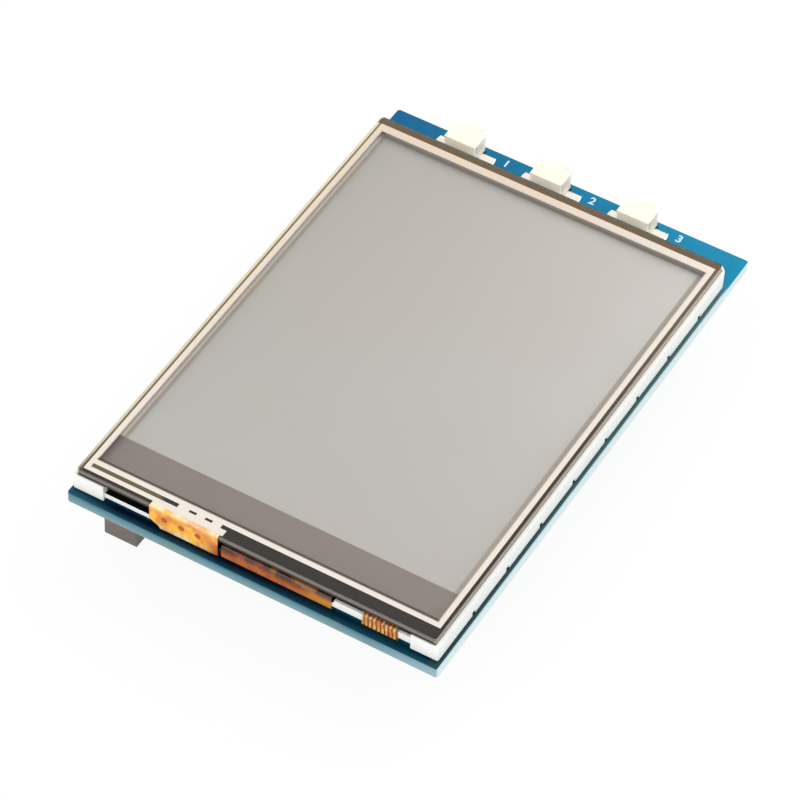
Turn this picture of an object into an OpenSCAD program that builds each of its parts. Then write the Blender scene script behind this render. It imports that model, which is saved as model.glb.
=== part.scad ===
// TFT display module: touch screen panel on a circuit board, three side-push keys,
// and a 2-row pin socket on the hidden side. Millimetres.
// Origin: centre of the pin socket's mating face. +Z towards the screen, +Y towards the keys.

/* [Board] */
// board width, across the short side
pcb_w = 56; // [54:0.5:60]
// board length, along the long side
pcb_l = 85; // [80:0.5:95]
// board thickness
pcb_t = 1.6; // [1:0.1:2]
// board corner radius
pcb_r = 0.4; // [0.2:0.1:3]

/* [Display panel] */
// bare board left of the panel frame
panel_gap_left = 0.3; // [0.2:0.05:1]
// bare board right of the panel frame
panel_gap_right = 0.6; // [0.2:0.05:1]
// panel frame front face, measured from the board's near edge
panel_gap_near = 1.05; // [0.8:0.05:2]
// board strip left free for the keys at the far end
key_strip = 5.15; // [4.6:0.05:8]
// foam tape between the board and the panel
tape_t = 0.3; // [0.25:0.05:0.6]
// height of the white frame of the backlight
frame_h = 2.6; // [2.6:0.05:3.2]
// side wall of the frame beside the display glass
frame_wall = 0.9; // [0.7:0.1:1.2]
// radius of the frame's two far corners
frame_r = 1.8; // [0.5:0.1:2]
// radius of the frame's two near corners
frame_r_near = 0.2; // [0.1:0.1:1]
// gap under the frame's bar at the near end, for the folded circuits
bar_gap = 0.5; // [0.3:0.05:0.6]
// bar set back from the frame's near face
bar_back = 0.3; // [0.2:0.05:0.4]
// width of the frame's full-height corner blocks
block_w = 4.7; // [4:0.1:6]

/* [Display glass] */
// thickness of the transistor glass
array_t = 0.5; // [0.4:0.05:0.55]
// thickness of the colour filter glass
filter_t = 0.48; // [0.4:0.02:0.5]
// thickness of each polariser
polariser_t = 0.16; // [0.1:0.02:0.18]
// ledge of the transistor glass that carries the driver chip
ledge = 2.3; // [2.2:0.1:3.5]
// thickness of the light guide
guide_t = 0.75; // [0.6:0.05:0.8]
// thickness of each optical film
film_t = 0.1; // [0.05:0.01:0.12]

/* [Touch panel] */
// touch glass thickness
touch_glass_t = 0.75; // [0.5:0.05:1.1]
// top film thickness
touch_film_t = 0.19; // [0.1:0.01:0.25]
// touch panel edge, inside the frame's edge at the sides
touch_inset = 0.55; // [0.4:0.05:0.7]
// width of the printed silver line round the touch area
silver_w = 0.7; // [0.5:0.05:1]
// width of the silver line at the near end
silver_w_near = 0.75; // [0.5:0.05:0.8]
// width of the second silver line, which leads to the tail
lead_w = 0.7; // [0.5:0.05:0.8]
// dark gap between the two silver lines
lead_gap = 0.65; // [0.3:0.05:0.8]
// width of the silver line at the far end
silver_w_far = 1.15; // [0.5:0.05:1.4]
// clear edge outside the silver line, left
silver_edge_left = 0.55; // [0.2:0.05:1]
// clear edge outside the silver line, right
silver_edge_right = 0.55; // [0.3:0.05:1]
// clear edge outside the silver line, far end
silver_edge_far = 1.1; // [0.3:0.05:1.2]
// silver line of the near end, measured from the touch panel's near edge
silver_near = 2.05; // [1.9:0.05:3]
// width of the touch panel's flexible tail
tail_w = 10.4; // [8:0.1:11]

/* [Flexible circuits] */
// thickness of the flexible circuits
flex_t = 0.12; // [0.08:0.01:0.14]
// inner radius of their bends
flex_r = 0.25; // [0.15:0.05:0.3]
// inner radius of the touch tail's folds
tail_r = 0.1; // [0.06:0.02:0.2]
// width of the display's flexible circuit
display_flex_w = 16.5; // [14:0.5:18]
// space between the tail and the display's flexible circuit
flex_space = 0.5; // [0.4:0.05:1]
// width of the backlight's flexible tail
led_tail_w = 5.2; // [4:0.1:5.4]
// space between the display's flexible circuit and the backlight's tail
led_tail_space = 4.6; // [1:0.1:5]
// space between the backlight's tail and the frame's right corner block
led_tail_edge = 2; // [1:0.1:3]
// number of backlight LEDs
led_count = 6; // [4:1:8]

/* [Keys] */
// distance between keys
key_pitch = 13.75; // [11:0.05:14]
// middle key, measured from the board's left edge
key_mid_x = 25.95; // [24:0.05:29]
// key housing width
key_w = 4.7; // [4.5:0.1:6]
// key housing depth
key_d = 3.4; // [3.2:0.1:3.6]
// key housing height
key_h = 3.3; // [3.1:0.1:3.8]
// length of each solder foot beside the key
key_foot = 1.95; // [0.8:0.05:2.2]
// how far the button stands out past the board's edge
button_out = 1; // [0.6:0.1:2]
// button travel
travel = 0.25; // [0.15:0.05:0.3]

/* [Pin socket] */
// contacts in each of the two rows
pins = 13; // [8:1:20]
// distance between contacts
pitch = 2.54; // [2.54]
// socket middle line, measured from the board's left edge
socket_x = 3.5; // [3.4:0.1:6]
// socket near end, measured from the board's near edge
socket_y = 7.1; // [3:0.1:12]
// height of the socket body
socket_h = 8.5; // [7:0.5:8.5]
// height of the spacer strip above the socket body
riser_h = 3.4; // [1:0.1:6]
// room between the spacer strip and the board, for the contacts' feet
foot_room = 0.9; // [0.6:0.1:1.5]
// square opening for each pin
pin_hole = 0.8; // [0.7:0.05:1]

/* [Small parts] */
// touch controller body length
chip_l = 5; // [4:0.1:6.5]
// touch controller body width
chip_w = 4.4; // [3.9:0.1:4.4]
// leads on each side of the touch controller
chip_leads = 8; // [6:1:10]
// resistors under the board
resistor_count = 5; // [3:1:6]
// capacitors under the board
capacitor_count = 4; // [2:1:6]

/* [Hidden] */
$fn = 48;
socket_w = 2 * pitch;
socket_l = pins * pitch;
// board datum: left edge, near edge, top face
bx = -socket_x;
by = -socket_y - socket_l / 2;
bz = socket_h + riser_h + foot_room + pcb_t;
// panel outline, in board terms
px0 = panel_gap_left;
px1 = pcb_w - panel_gap_right;
py0 = panel_gap_near;
py1 = pcb_l - key_strip;
pz0 = tape_t;
pz1 = tape_t + frame_h;
// display glass outline
gx0 = px0 + frame_wall;
gx1 = px1 - frame_wall;
gy0 = py0 + bar_back + 0.85;
gy1 = py1 - frame_wall;
ledge_y = gy0 + ledge;
// heights of the display glass, built down from the frame's top
front_z = pz1 - polariser_t;
filter_z = front_z - filter_t;
array_z = filter_z - array_t;
rear_z = array_z - polariser_t;
rim_t = 0.06;
shelf_z = rear_z - rim_t;
// light guide pocket
shelf_w = 0.9;
kx0 = gx0 + shelf_w;
kx1 = gx1 - shelf_w;
ky0 = gy0 + 0.2;
ky1 = gy1 - shelf_w;
reflector_t = 0.08;
guide_z = pz0 + reflector_t;
guide_y = ky0 + 2.6;
films_z = guide_z + guide_t;
led_flex_z = shelf_z - flex_t;
led_h = led_flex_z - guide_z - 0.04;
// touch panel outline and heights
tx0 = px0 + touch_inset;
tx1 = px1 - touch_inset;
ty0 = py0 + 0.2;
ty1 = py1 - 1;
gasket_t = 0.15;
tg_z = pz1 + gasket_t;
silver_z = tg_z + touch_glass_t;
silver_t = 0.06;
film_z = silver_z + silver_t;
gasket_w = 0.9;
// silver ring, outer edges
rx0 = tx0 + silver_edge_left;
rx1 = tx1 - silver_edge_right;
ry0 = ty0 + silver_near;
ry1 = ty1 - silver_edge_far;
// flexible circuits
flex_y = py0 + bar_back - 0.05 - flex_t;
tail_face_y = ty0 - tail_r - flex_t;
flex_foot_z = 0.12;
recess_x0 = px0 + block_w;
recess_x1 = px1 - block_w + 0.6;
led_tail_x = recess_x1 - led_tail_edge - led_tail_w;
display_flex_x = led_tail_x - led_tail_space - display_flex_w;
tail_x = display_flex_x - flex_space - tail_w;
flex_end = 9;
tail_z = silver_z;
tail_y = ty0 + 0.35;
bar_z = pz0 + bar_gap;
bar_t = 0.45;
step_z = pz1 - 0.9;
led_tail_z = step_z + 0.15;
step_x0 = display_flex_x + display_flex_w + 0.3;
// keys, with y measured from the housing's back face
key_y = pcb_l - 0.7 - key_d;
key_wall = 0.7;
key_floor = 0.7;
lid_t = 0.18;
tab_t = 0.15;
stem_w = key_w - 2 * key_wall - 1.4;
stem_h = 1.3;
stem_z = 1;
slide_gap = 0.12;
flange_t = 0.5;
flange_y = key_d - key_wall - 0.05 - flange_t;
nub_t = 0.2;
dome_h = flange_y - nub_t - key_wall - travel - 0.1;
dome_r = stem_z + stem_h / 2 - key_floor - 0.05;
lead_t = 0.15;
// under the board, heights below its lower face
contact_t = 0.2;
strip_z = -foot_room - riser_h;

// which sub-part to build

// ---- helpers ----

module on_board() {
  translate([bx, by, bz]) children();
}

module under_board() {
  translate([bx, by, bz - pcb_t]) children();
}

// box from its two corners, in board terms
module slab(x0, x1, y0, y1, z, t) {
  translate([x0, y0, z]) cube([x1 - x0, y1 - y0, t]);
}

// plate with rounded corners: r at the far end, rn at the near end
module round_plate(x0, x1, y0, y1, z, t, r, rn) {
  translate([0, 0, z]) linear_extrude(t) round_outline(x0, x1, y0, y1, r, rn);
}

module round_outline(x0, x1, y0, y1, r, rn) {
  union() {
    translate([x0, y0 + rn]) square([x1 - x0, y1 - y0 - r - rn]);
    translate([x0 + r, y1 - r - 0.1]) square([x1 - x0 - 2 * r, r + 0.1]);
    translate([x0 + rn, y0]) square([x1 - x0 - 2 * rn, rn + 0.1]);
    for (x = [x0 + r, x1 - r]) {
      translate([x, y1 - r]) circle(r);
    }
    for (x = [x0 + rn, x1 - rn]) {
      translate([x, y0 + rn]) circle(rn);
    }
  }
}

// flat frame: outer rectangle less an inner one
module flat_ring(x0, x1, y0, y1, w, z, t) {
  translate([0, 0, z]) linear_extrude(t) difference() {
    translate([x0, y0]) square([x1 - x0, y1 - y0]);
    translate([x0 + w, y0 + w]) square([x1 - x0 - 2 * w, y1 - y0 - 2 * w]);
  }
}

// folded strip profile: each step is [straight length, turn], turn 1 left, -1 right, 0 ends
module fold(steps, t, r, i = 0) {
  len_i = steps[i][0];
  turn = steps[i][1];
  translate([0, -t / 2]) square([len_i, t]);
  if (turn != 0) {
    side = turn * (r + t / 2);
    translate([len_i, side]) intersection() {
      difference() {
        circle(r + t);
        circle(r);
      }
      translate([0, turn > 0 ? -r - t : 0]) square(r + t);
    }
    translate([len_i + r + t / 2, side]) rotate(90 * turn) fold(steps, t, r, i + 1);
  }
}

// folded strip solid: profile runs from [y, z] towards -Y, width along X
module ribbon(x, w, y, z, steps, r = flex_r) {
  translate([x, y, z]) rotate([90, 0, -90]) translate([0, 0, -w]) linear_extrude(w)
    fold(steps, flex_t, r);
}

// ---- board ----

module pcb() {
  color([0.10, 0.42, 0.58]) on_board() round_plate(0, pcb_w, 0, pcb_l, -pcb_t, pcb_t, pcb_r, pcb_r);
}

// ---- display panel, from the board upwards ----

// three strips of double-sided foam tape
module panel_tape() {
  color([0.93, 0.93, 0.9]) on_board() {
    for (f = [0.2, 0.55, 0.9]) {
      slab(px0 + 0.4, px1 - 0.4, py0 + f * (py1 - py0) - 5, py0 + f * (py1 - py0) + 5, 0, tape_t);
    }
  }
}

// moulded white frame: outer wall, shelf for the display glass, pocket for the light guide
module backlight_frame() {
  color([0.97, 0.96, 0.93]) on_board() difference() {
    round_plate(px0, px1, py0, py1, pz0, frame_h, frame_r, frame_r_near);
    slab(gx0 - 0.1, gx1 + 0.1, gy0 - 0.1, gy1 + 0.1, shelf_z, frame_h);
    slab(kx0, kx1, ky0 - 0.05, ky1, pz0 - 1, frame_h);
    // open near end above the bar, between the corner blocks
    slab(recess_x0, recess_x1, py0 - 1, gy0, step_z, frame_h);
    slab(recess_x0, recess_x1, py0 - 1, py0 + bar_back, pz0 - 1, frame_h + 2);
    slab(recess_x0, step_x0, py0 - 1, gy0, shelf_z, frame_h);
    slab(recess_x0, recess_x1, py0 + bar_back + bar_t, gy0, shelf_z, frame_h);
    // gap under the bar for the folded circuits
    slab(recess_x0, recess_x1, py0 - 1, ky0, pz0 - 1, 1 + bar_z - pz0);
    // slot for the backlight's tail to rise behind the bar
    slab(led_tail_x - 0.15, led_tail_x + led_tail_w + 0.15, rise_y - flex_t / 2 - 0.1, ky0,
      led_flex_z - 0.1, frame_h);
    // moulding notches along the foot of the long sides
    for (i = [1 : 8]) {
      slab(px0 - 1, px0 + 0.3, py0 + i * (py1 - py0) / 9, py0 + i * (py1 - py0) / 9 + 0.8, pz0 - 1, 1.7);
      slab(px1 - 0.3, px1 + 1, py0 + i * (py1 - py0) / 9, py0 + i * (py1 - py0) / 9 + 0.8, pz0 - 1, 1.7);
    }
  }
}

module reflector_film() {
  color([0.9, 0.92, 0.93]) on_board()
    slab(kx0 + 0.1, kx1 - 0.1, ky0 + 0.1, ky1 - 0.1, pz0, reflector_t);
}

module light_guide() {
  color([0.85, 0.93, 0.95, 0.6]) on_board()
    slab(kx0 + 0.15, kx1 - 0.15, guide_y, ky1 - 0.15, guide_z, guide_t);
}

// strip above the LEDs, with a tail that hooks over the bar and folds under the frame
module led_flex() {
  color([0.86, 0.55, 0.25]) on_board() {
    slab(kx0 + 0.3, kx1 - 0.3, ky0 + 0.1, guide_y + 0.6, led_flex_z, flex_t);
    ribbon(led_tail_x, led_tail_w, ky0 + 0.1, led_flex_z + flex_t / 2, led_steps);
  }
}
rise_y = gy0 - 0.12 - flex_t / 2;
led_steps = [
  [ky0 + 0.1 - rise_y - flex_r - flex_t / 2, 1],
  [led_tail_z - led_flex_z - 2 * flex_r - flex_t, -1],
  [rise_y - flex_y - flex_t / 2 - 2 * flex_r - flex_t, -1],
  [led_tail_z - flex_foot_z - 2 * flex_r - flex_t, -1],
  [flex_end - 3, 0]];

module led_chips() {
  color([0.98, 0.95, 0.7]) on_board() {
    for (i = [0 : led_count - 1]) {
      x = kx0 + 3 + (i + 0.5) * (kx1 - kx0 - 6) / led_count;
      slab(x - 1.5, x + 1.5, guide_y - 0.95, guide_y - 0.05, led_flex_z - led_h, led_h);
    }
  }
}

module diffuser_film() {
  color([0.95, 0.95, 0.95]) on_board()
    slab(kx0 + 0.15, kx1 - 0.15, guide_y + 0.7, ky1 - 0.15, films_z, film_t);
}

module prism_film_lower() {
  color([0.88, 0.9, 0.92]) on_board()
    slab(kx0 + 0.15, kx1 - 0.15, guide_y + 0.7, ky1 - 0.15, films_z + film_t, film_t);
}

module prism_film_upper() {
  color([0.86, 0.88, 0.9]) on_board()
    slab(kx0 + 0.15, kx1 - 0.15, guide_y + 0.7, ky1 - 0.15, films_z + 2 * film_t, film_t);
}

// black tape between the frame's shelf and the display glass, with a flap over the bar
module rim_tape() {
  color([0.06, 0.06, 0.06]) on_board() union() {
    flat_ring(gx0, gx1, gy0, gy1, 1.6, shelf_z, rim_t);
    slab(recess_x0 + 0.1, step_x0 - 0.1, py0 + bar_back + 0.05, gy0 + 0.5, shelf_z, rim_t);
  }
}

module rear_polariser() {
  color([0.3, 0.32, 0.3]) on_board() slab(gx0 + 0.3, gx1 - 0.3, gy0 + 0.3, gy1 - 0.3, rear_z, polariser_t);
}

module array_glass() {
  color([0.55, 0.6, 0.6]) on_board() slab(gx0, gx1, gy0, gy1, array_z, array_t);
}

module driver_chip() {
  color([0.2, 0.2, 0.22]) on_board()
    slab(pcb_w / 2 - 9, pcb_w / 2 + 9, ledge_y - 1.15, ledge_y - 0.25, filter_z, 0.3);
}

// black tape that keeps light off the driver chip
module chip_tape() {
  color([0.13, 0.12, 0.12]) on_board()
    slab(gx0 + 0.3, gx1 - 0.3, gy0 + 0.3, ledge_y - 0.05, filter_z + 0.3, 0.06);
}

module colour_filter_glass() {
  color([0.5, 0.5, 0.48]) on_board() slab(gx0, gx1, ledge_y, gy1, filter_z, filter_t);
}

module front_polariser() {
  color([0.73, 0.70, 0.66]) on_board()
    slab(gx0 + 0.3, gx1 - 0.3, ledge_y + 0.3, gy1 - 0.3, front_z, polariser_t);
}

// bonded to the ledge, down in front of the bar and back under the frame
module display_flex() {
  color([0.68, 0.38, 0.18]) on_board()
    ribbon(display_flex_x, display_flex_w, gy0 + 0.8, filter_z + flex_t / 2, display_steps);
}
display_steps = [
  [gy0 + 0.8 - flex_y - flex_t - flex_r, -1],
  [filter_z - flex_foot_z - 2 * flex_r - flex_t, -1],
  [flex_end, 0]];

// ---- touch panel ----

module touch_gasket() {
  color([0.16, 0.15, 0.14]) on_board() difference() {
    slab(tx0, tx1, ty0, ty1, pz1, gasket_t);
    slab(tx0 + gasket_w, tx1 - gasket_w, ledge_y + 0.6, ty1 - gasket_w, pz1 - 1, 2);
    slab(recess_x0 + 0.2, recess_x1 - 0.2, ty0 - 1, ledge_y + 0.3, pz1 - 1, 2);
  }
}

module touch_glass() {
  color([0.75, 0.78, 0.76, 0.5]) on_board() round_plate(tx0, tx1, ty0, ty1, tg_z, touch_glass_t, 0.5, 0.3);
}

// printed silver line, closed loop, with its wider pad by the tail
pad_over = 0.4;
dash_w = 1.1;
dash_h = 0.4;
module silver_shape() {
  difference() {
    translate([rx0, ry0]) square([rx1 - rx0, ry1 - ry0]);
    translate([rx0 + silver_w, ry0 + silver_w_near])
      square([rx1 - rx0 - 2 * silver_w, ry1 - ry0 - silver_w_near - silver_w_far]);
  }
}

module lead_shape() {
  translate([rx0, ry0 - lead_gap - lead_w]) square([tail_x - rx0 + 0.1, lead_w]);
  translate([rx0, ry0 - lead_gap - lead_w]) square([silver_w, lead_gap + lead_w + 0.1]);
}

module pad_shape() {
  difference() {
    translate([tail_x, tail_y]) square([tail_w + pad_over, ry0 - tail_y + 0.1]);
    translate([tail_x - 1, ry0 - lead_gap]) square([1 + 0.31 * tail_w, lead_gap]);
    translate([tail_x + tail_w - 0.6, ry0 - lead_gap]) square([2, lead_gap]);
    for (f = [0.525, 0.758]) {
      translate([tail_x + f * tail_w - dash_w / 2, ry0 - (lead_gap + dash_h) / 2]) square([dash_w, dash_h]);
    }
  }
}

module silver_ring() {
  color([0.94, 0.89, 0.82]) on_board() translate([0, 0, silver_z]) linear_extrude(silver_t) union() {
    silver_shape();
    lead_shape();
    pad_shape();
  }
}

// clear adhesive that fills the rim between glass and film, outside and just inside the silver
adhesive_in = 0.15;
module touch_adhesive() {
  color([0.3, 0.29, 0.27]) on_board() translate([0, 0, silver_z]) linear_extrude(silver_t) difference() {
    round_outline(tx0, tx1, ty0, ty1, 0.5, 0.3);
    translate([rx0 + silver_w + adhesive_in, ry0 + silver_w_near + adhesive_in])
      square([rx1 - rx0 - 2 * (silver_w + adhesive_in),
        ry1 - ry0 - silver_w_near - silver_w_far - 2 * adhesive_in]);
    silver_shape();
    lead_shape();
    pad_shape();
    translate([tail_x - 0.05, ty0 - 1]) square([tail_w + pad_over + 0.1, tail_y - ty0 + 1.01]);
  }
}

// top film, cut back over the tail so that the tail can lie on the glass
module touch_film() {
  color([0.8, 0.8, 0.78, 0.4]) on_board() difference() {
    round_plate(tx0, tx1, ty0, ty1, film_z, touch_film_t, 0.5, 0.3);
    slab(tail_x - 0.1, tail_x + tail_w + 0.1, ty0 - 1, tail_y + 0.08, film_z - 1, 3);
  }
}

// orange tail: on the glass edge, down in front and under the frame, narrower near the board
module touch_tail() {
  color([0.95, 0.62, 0.22]) on_board() difference() {
    ribbon(tail_x, tail_w, tail_y, tail_z + flex_t / 2, tail_steps, tail_r);
    translate([tail_x, 15, 0]) rotate([90, 0, 0]) linear_extrude(20)
      polygon([[-1, tail_cut_top], [0, tail_cut_top], [tail_cut, tail_cut_low], [tail_cut, -1], [-1, -1]]);
  }
}
tail_cut = 0.15 * tail_w;
tail_cut_top = pz1 - 1.5;
tail_cut_low = 0.55;
tail_steps = [
  [tail_y - tail_face_y - flex_t - tail_r, -1],
  [tail_z - flex_foot_z - 2 * tail_r - flex_t, -1],
  [flex_end - 2, 0]];

// ---- keys: y from the back of the housing, z from the board's face ----

module at_key(i) {
  translate([bx + key_mid_x + (i - 2) * key_pitch, by + key_y, bz]) children();
}

module key_base(i) {
  color([0.93, 0.9, 0.84]) at_key(i) difference() {
    translate([-key_w / 2, 0, 0]) cube([key_w, key_d, key_h - lid_t]);
    translate([-key_w / 2 + key_wall, key_wall, key_floor])
      cube([key_w - 2 * key_wall, key_d - 2 * key_wall, key_h]);
    translate([-stem_w / 2 - slide_gap, key_d - key_wall - 1, stem_z - slide_gap])
      cube([stem_w + 2 * slide_gap, key_wall + 2, stem_h + 2 * slide_gap]);
  }
}

module key_lid(i) {
  color([0.95, 0.93, 0.88]) at_key(i) {
    translate([-key_w / 2 - tab_t, 0, key_h - lid_t]) cube([key_w + 2 * tab_t, key_d, lid_t]);
    for (s = [-1, 1]) {
      translate([s * (key_w + tab_t) / 2 - tab_t / 2, 0.7, key_h - 1.7]) cube([tab_t, key_d - 1.4, 1.7 - lid_t]);
    }
  }
}

module key_dome(i) {
  color([0.8, 0.8, 0.8]) at_key(i) translate([0, key_wall, stem_z + stem_h / 2]) rotate([-90, 0, 0])
    rotate_extrude() polygon([[0, dome_h - 0.08], [0.35, dome_h - 0.08], [dome_r - 0.1, 0], [dome_r, 0],
      [0.4, dome_h], [0, dome_h]]);
}

module key_button(i) {
  color([0.95, 0.93, 0.88]) at_key(i) {
    translate([-stem_w / 2, flange_y + flange_t, stem_z])
      cube([stem_w, pcb_l + button_out - key_y - flange_y - flange_t, stem_h]);
    translate([-stem_w / 2 - 0.5, flange_y, key_floor + 0.1])
      cube([stem_w + 1, flange_t, stem_h + 0.7]);
    translate([0, flange_y - nub_t, stem_z + stem_h / 2]) rotate([-90, 0, 0]) cylinder(h = nub_t, r = 0.5);
  }
}

terminal_y = 0.9;
terminal_h = 0.9;
module key_terminals(i) {
  color([0.95, 0.95, 0.95]) at_key(i) {
    for (s = [-1, 1]) {
      translate([s * (key_w + lead_t) / 2 - lead_t / 2, terminal_y, 0])
        cube([lead_t, key_d - 2 * terminal_y, terminal_h]);
      translate([s > 0 ? key_w / 2 + lead_t : -key_w / 2 - lead_t - key_foot, terminal_y, 0])
        cube([key_foot, key_d - 2 * terminal_y, lead_t]);
    }
  }
}

module key_1_base() { key_base(1); }
module key_1_lid() { key_lid(1); }
module key_1_dome() { key_dome(1); }
module key_1_button() { key_button(1); }
module key_1_terminals() { key_terminals(1); }
module key_2_base() { key_base(2); }
module key_2_lid() { key_lid(2); }
module key_2_dome() { key_dome(2); }
module key_2_button() { key_button(2); }
module key_2_terminals() { key_terminals(2); }
module key_3_base() { key_base(3); }
module key_3_lid() { key_lid(3); }
module key_3_dome() { key_dome(3); }
module key_3_button() { key_button(3); }
module key_3_terminals() { key_terminals(3); }

// ---- pin socket on the hidden side, z from the mating face ----

module at_pins() {
  for (i = [0 : pins - 1], s = [-1, 1]) {
    translate([s * pitch / 2, (i - (pins - 1) / 2) * pitch, 0]) children();
  }
}

// each opening: tapered lead-in, square hole in the floor, wider cell for the contact
lead_in = 0.3;
floor_t = 0.7;
cell = 1.3;
module socket_body() {
  color([0.2, 0.19, 0.18]) difference() {
    translate([-socket_w / 2, -socket_l / 2, 0]) cube([socket_w, socket_l, socket_h]);
    at_pins() {
      translate([0, 0, -0.1]) rotate(45)
        cylinder(h = lead_in + 0.1, r1 = (pin_hole / 2 + lead_in + 0.1) * sqrt(2),
          r2 = pin_hole / 2 * sqrt(2), $fn = 4);
      translate([-pin_hole / 2, -pin_hole / 2, -1]) cube([pin_hole, pin_hole, 2]);
      translate([-cell / 2, -cell / 2, floor_t]) cube([cell, cell, socket_h]);
    }
  }
}

module socket_riser() {
  color([0.2, 0.19, 0.18]) difference() {
    translate([-socket_w / 2, -socket_l / 2, socket_h]) cube([socket_w, socket_l, riser_h]);
    at_pins() {
      translate([-slot_w / 2, -slot_t / 2, socket_h - 1]) cube([slot_w, slot_t, riser_h + 2]);
    }
  }
}

// each contact: two spring leaves, a bridge, a stem through the spacer and a foot on the board
contact_w = 0.6;
slot_w = contact_w + 0.2;
slot_t = contact_t + 0.2;
leaf_y = pin_hole / 2 + 0.05;
leaf_z = floor_t + 0.3;
bridge_z = socket_h - 0.4;
foot_l = 1.4;
module contact_bar(y0, y1, z0, z1) {
  translate([-contact_w / 2, y0, z0]) cube([contact_w, y1 - y0, z1 - z0]);
}

module socket_contacts() {
  foot_z = bz - pcb_t;
  color([0.85, 0.72, 0.4]) for (i = [0 : pins - 1], s = [-1, 1]) {
    translate([s * pitch / 2, (i - (pins - 1) / 2) * pitch, 0]) {
      for (t = [-1, 1]) {
        contact_bar(t * leaf_y - contact_t / 2, t * leaf_y + contact_t / 2, leaf_z, bridge_z);
      }
      contact_bar(-leaf_y, leaf_y, bridge_z - contact_t, bridge_z);
      contact_bar(-contact_t / 2, contact_t / 2, bridge_z, foot_z);
      contact_bar(-contact_w / 2, contact_w / 2, foot_z - contact_t, foot_z);
      translate([s > 0 ? contact_w / 2 : -contact_w / 2 - foot_l, -contact_w / 2, foot_z - contact_t])
        cube([foot_l, contact_w, contact_t]);
    }
  }
}

// ---- small parts under the board ----

resin_h = 0.95;
resin_gap = 0.1;
leg_t = 0.12;
leg_rise = 0.62;

// bent lead of a small package: out from the body's side, down, and a foot; s is 1 or -1
module leg(x, y, w, out, foot, s) {
  bend_x = x + s * (out - leg_t / 2);
  translate([min(x, x + s * out), y, -leg_rise]) cube([out, w, leg_t]);
  translate([bend_x - leg_t / 2, y, -leg_rise + leg_t]) cube([leg_t, w, leg_rise - leg_t]);
  translate([min(x + s * out, x + s * (out + foot)), y, -leg_t]) cube([foot, w, leg_t]);
}

chip_x = 0.43 * pcb_w;
chip_y = pcb_l - 23;
chip_leg_w = 0.24;
module touch_controller() {
  color([0.1, 0.1, 0.1]) under_board() translate([chip_x, chip_y, -resin_gap - resin_h])
    cube([chip_w, chip_l, resin_h]);
}

module controller_leads() {
  color([0.8, 0.8, 0.8]) under_board() for (i = [0 : chip_leads - 1]) {
    y = chip_y + (i + 0.5) * chip_l / chip_leads - chip_leg_w / 2;
    leg(chip_x, y, chip_leg_w, 0.35, 0.55, -1);
    leg(chip_x + chip_w, y, chip_leg_w, 0.35, 0.55, 1);
  }
}

tr_w = 1.3;
tr_l = 2.9;
tr_x = chip_x + 16;
tr_y = chip_y + 8;
tr_leg_w = 0.4;
module transistor() {
  color([0.1, 0.1, 0.1]) under_board() translate([tr_x, tr_y, -resin_gap - resin_h])
    cube([tr_w, tr_l, resin_h]);
}

module transistor_leads() {
  color([0.8, 0.8, 0.8]) under_board() {
    for (f = [-1, 1]) {
      leg(tr_x + tr_w, tr_y + tr_l / 2 + f * 0.95 - tr_leg_w / 2, tr_leg_w, 0.3, 0.35, 1);
    }
    leg(tr_x, tr_y + (tr_l - tr_leg_w) / 2, tr_leg_w, 0.3, 0.35, -1);
  }
}

part_w = 0.8;
part_l = 1.6;
part_step = 2.4;
resistor_h = 0.45;
capacitor_h = 0.8;
module resistors() {
  color([0.12, 0.12, 0.12]) under_board() for (i = [0 : resistor_count - 1]) {
    translate([chip_x - 9 + part_step * i, chip_y + 9, -resistor_h]) cube([part_w, part_l, resistor_h]);
  }
}

module capacitors() {
  color([0.75, 0.62, 0.42]) under_board() for (i = [0 : capacitor_count - 1]) {
    translate([chip_x + 9, chip_y - 5 + part_step * i, -capacitor_h]) cube([part_l, part_w, capacitor_h]);
  }
}

// ---- build ----

pcb();
panel_tape();
backlight_frame();
reflector_film();
light_guide();
led_flex();
led_chips();
diffuser_film();
prism_film_lower();
prism_film_upper();
rim_tape();
rear_polariser();
array_glass();
driver_chip();
chip_tape();
colour_filter_glass();
front_polariser();
display_flex();
touch_gasket();
touch_glass();
touch_adhesive();
silver_ring();
touch_film();
touch_tail();
key_1_base();
key_1_lid();
key_1_dome();
key_1_button();
key_1_terminals();
key_2_base();
key_2_lid();
key_2_dome();
key_2_button();
key_2_terminals();
key_3_base();
key_3_lid();
key_3_dome();
key_3_button();
key_3_terminals();
socket_body();
socket_riser();
socket_contacts();
touch_controller();
controller_leads();
transistor();
transistor_leads();
resistors();
capacitors();
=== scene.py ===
import bpy, bmesh, math
from mathutils import Vector, Matrix


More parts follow.
